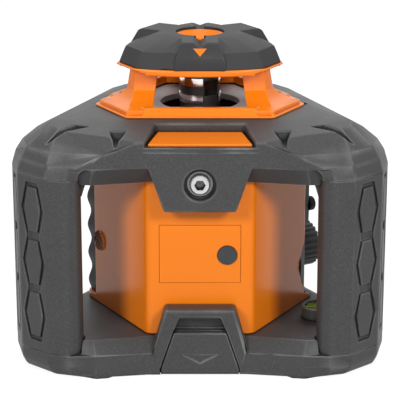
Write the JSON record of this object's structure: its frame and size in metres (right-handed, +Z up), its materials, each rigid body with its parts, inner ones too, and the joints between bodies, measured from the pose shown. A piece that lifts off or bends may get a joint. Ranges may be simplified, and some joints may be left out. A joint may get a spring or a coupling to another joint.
{
  "type": "rotary laser level",
  "caption": "Rotary laser level: spinning laser head under a capped lantern, self-levelling housing in a bumper cage with posts, keypad, dial, bubble vial, battery hatch and tripod thread.",
  "frame": {"origin": "centre of the tripod thread's mouth, on the base plane that the feet stand on", "axes": "+Z up along the rotor's axis, -Y towards the front with the battery hatch, +X to the right seen from the front"},
  "size_m": [0.1936, 0.1766, 0.167],
  "materials": {
    "charcoal_plastic": "fine textured, matt",
    "orange_plastic": "semi-gloss moulded",
    "black_rubber": "soft matt",
    "deck_plastic": "satin light grey",
    "dark_lens": "polished infrared filter",
    "black_plastic": "satin",
    "steel": "machined",
    "polished_steel": "polished",
    "brass": "machined",
    "clear_glass": "coated optical",
    "vial_fluid": "clear tinted fluid",
    "cast_aluminium": "die-cast, satin",
    "circuit_board": "solder mask",
    "belt_rubber": "matt"
  },
  "bodies": {
    "chassis": {"aperture_glass": "clear_glass", "aperture_ring": "orange_plastic", "badge_plate": "orange_plastic", "base_tray": "charcoal_plastic", "battery_contacts": "polished_steel", "battery_pack": "black_plastic", "charge_jack": "black_plastic", "deck_plate": "deck_plastic", "gimbal_bracket": "cast_aluminium", "head_cap": "black_rubber", "key_board": "circuit_board", "keypad_mat": "black_rubber", "knob_dish": "charcoal_plastic", "knob_encoder": "black_plastic", "knob_mat": "black_rubber", "label_plate": "orange_plastic", "lantern_frame": "orange_plastic", "level_motors": "steel", "level_screws": "steel", "main_housing": "orange_plastic", "post_front_left": "charcoal_plastic", "post_front_right": "charcoal_plastic", "post_rear": "charcoal_plastic", "receiver_eye": "dark_lens", "top_shell": "charcoal_plastic", "tripod_insert": "brass", "vial_holder": "charcoal_plastic", "vial_lens": "clear_glass", "vial_liquid": "vial_fluid"},
    "hatch": {"battery_hatch": "charcoal_plastic"},
    "ring": {"gimbal_ring": "cast_aluminium"},
    "module": {"module_frame": "cast_aluminium", "laser_diode": "cast_aluminium", "collimator_lens": "clear_glass", "spindle_bearings": "steel", "drive_motor": "steel", "drive_belt": "belt_rubber"},
    "rotor": {"rotor_head": "black_plastic", "rotor_pulley": "black_plastic", "rotor_bands": "polished_steel", "rotor_prism": "clear_glass", "rotor_window": "clear_glass"},
    "motor_shaft": {"motor_pulley": "black_plastic"},
    "nut_x": {"level_nut_x": "brass"},
    "nut_y": {"level_nut_y": "brass"},
    "power": {"power_button": "black_rubber"},
    "dial": {"knob": "charcoal_plastic"},
    "key_1": {"key_1": "black_rubber"},
    "key_2": {"key_2": "black_rubber"},
    "key_3": {"key_3": "black_rubber"},
    "key_4": {"key_4": "black_rubber"},
    "key_5": {"key_5": "black_rubber"},
    "key_6": {"key_6": "black_rubber"},
    "key_7": {"key_7": "black_rubber"},
    "key_8": {"key_8": "black_rubber"}
  },
  "joints": [
    {"name": "hatch_hinge", "type": "hinge", "parent": "chassis", "child": "hatch", "pos_m": [0, -0.06425, 0.00235], "axis": [1, 0, 0], "range_deg": [0, 85]},
    {"name": "level_x", "type": "hinge", "parent": "chassis", "child": "ring", "pos_m": [0, 0, 0.078], "axis": [1, 0, 0], "range_deg": [-5, 5]},
    {"name": "level_y", "type": "hinge", "parent": "ring", "child": "module", "pos_m": [0, 0, 0.078], "axis": [0, 1, 0], "range_deg": [-5, 5]},
    {"name": "rotor_spin", "type": "hinge", "parent": "module", "child": "rotor", "pos_m": [0, 0, 0.138], "axis": [0, 0, 1], "continuous": true},
    {"name": "motor_spin", "type": "hinge", "parent": "module", "child": "motor_shaft", "pos_m": [-0.024, 0, 0.115], "axis": [0, 0, 1], "continuous": true},
    {"name": "nut_x_slide", "type": "slide", "parent": "chassis", "child": "nut_x", "axis": [0, 0, 1], "range_m": [-0.004, 0.004]},
    {"name": "nut_y_slide", "type": "slide", "parent": "chassis", "child": "nut_y", "axis": [0, 0, 1], "range_m": [-0.004, 0.004]},
    {"name": "dial_turn", "type": "hinge", "parent": "chassis", "child": "dial", "pos_m": [0.0473, 0.01807, 0.043], "axis": [0.866, 0.5, 0], "range_deg": [-135, 135]},
    {"name": "power_press", "type": "slide", "parent": "chassis", "child": "power", "axis": [-0.866, -0.5, 0], "range_m": [0, 0.001], "stiffness_N_per_m": 300},
    {"name": "key_1_press", "type": "slide", "parent": "chassis", "child": "key_1", "axis": [0.866, -0.5, 0], "range_m": [0, 0.001], "stiffness_N_per_m": 300},
    {"name": "key_2_press", "type": "slide", "parent": "chassis", "child": "key_2", "axis": [0.866, -0.5, 0], "range_m": [0, 0.001], "stiffness_N_per_m": 300},
    {"name": "key_3_press", "type": "slide", "parent": "chassis", "child": "key_3", "axis": [0.866, -0.5, 0], "range_m": [0, 0.001], "stiffness_N_per_m": 300},
    {"name": "key_4_press", "type": "slide", "parent": "chassis", "child": "key_4", "axis": [0.866, -0.5, 0], "range_m": [0, 0.001], "stiffness_N_per_m": 300},
    {"name": "key_5_press", "type": "slide", "parent": "chassis", "child": "key_5", "axis": [0.866, -0.5, 0], "range_m": [0, 0.001], "stiffness_N_per_m": 300},
    {"name": "key_6_press", "type": "slide", "parent": "chassis", "child": "key_6", "axis": [0.866, -0.5, 0], "range_m": [0, 0.001], "stiffness_N_per_m": 300},
    {"name": "key_7_press", "type": "slide", "parent": "chassis", "child": "key_7", "axis": [0.866, -0.5, 0], "range_m": [0, 0.001], "stiffness_N_per_m": 300},
    {"name": "key_8_press", "type": "slide", "parent": "chassis", "child": "key_8", "axis": [0.866, -0.5, 0], "range_m": [0, 0.001], "stiffness_N_per_m": 300}
  ],
  "couplings": [
    {"joint": "motor_spin", "follows": "rotor_spin", "ratio": 2},
    {"joint": "nut_x_slide", "follows": "level_x", "m_per_rad": 0.039},
    {"joint": "nut_y_slide", "follows": "level_y", "m_per_rad": -0.04}
  ]
}
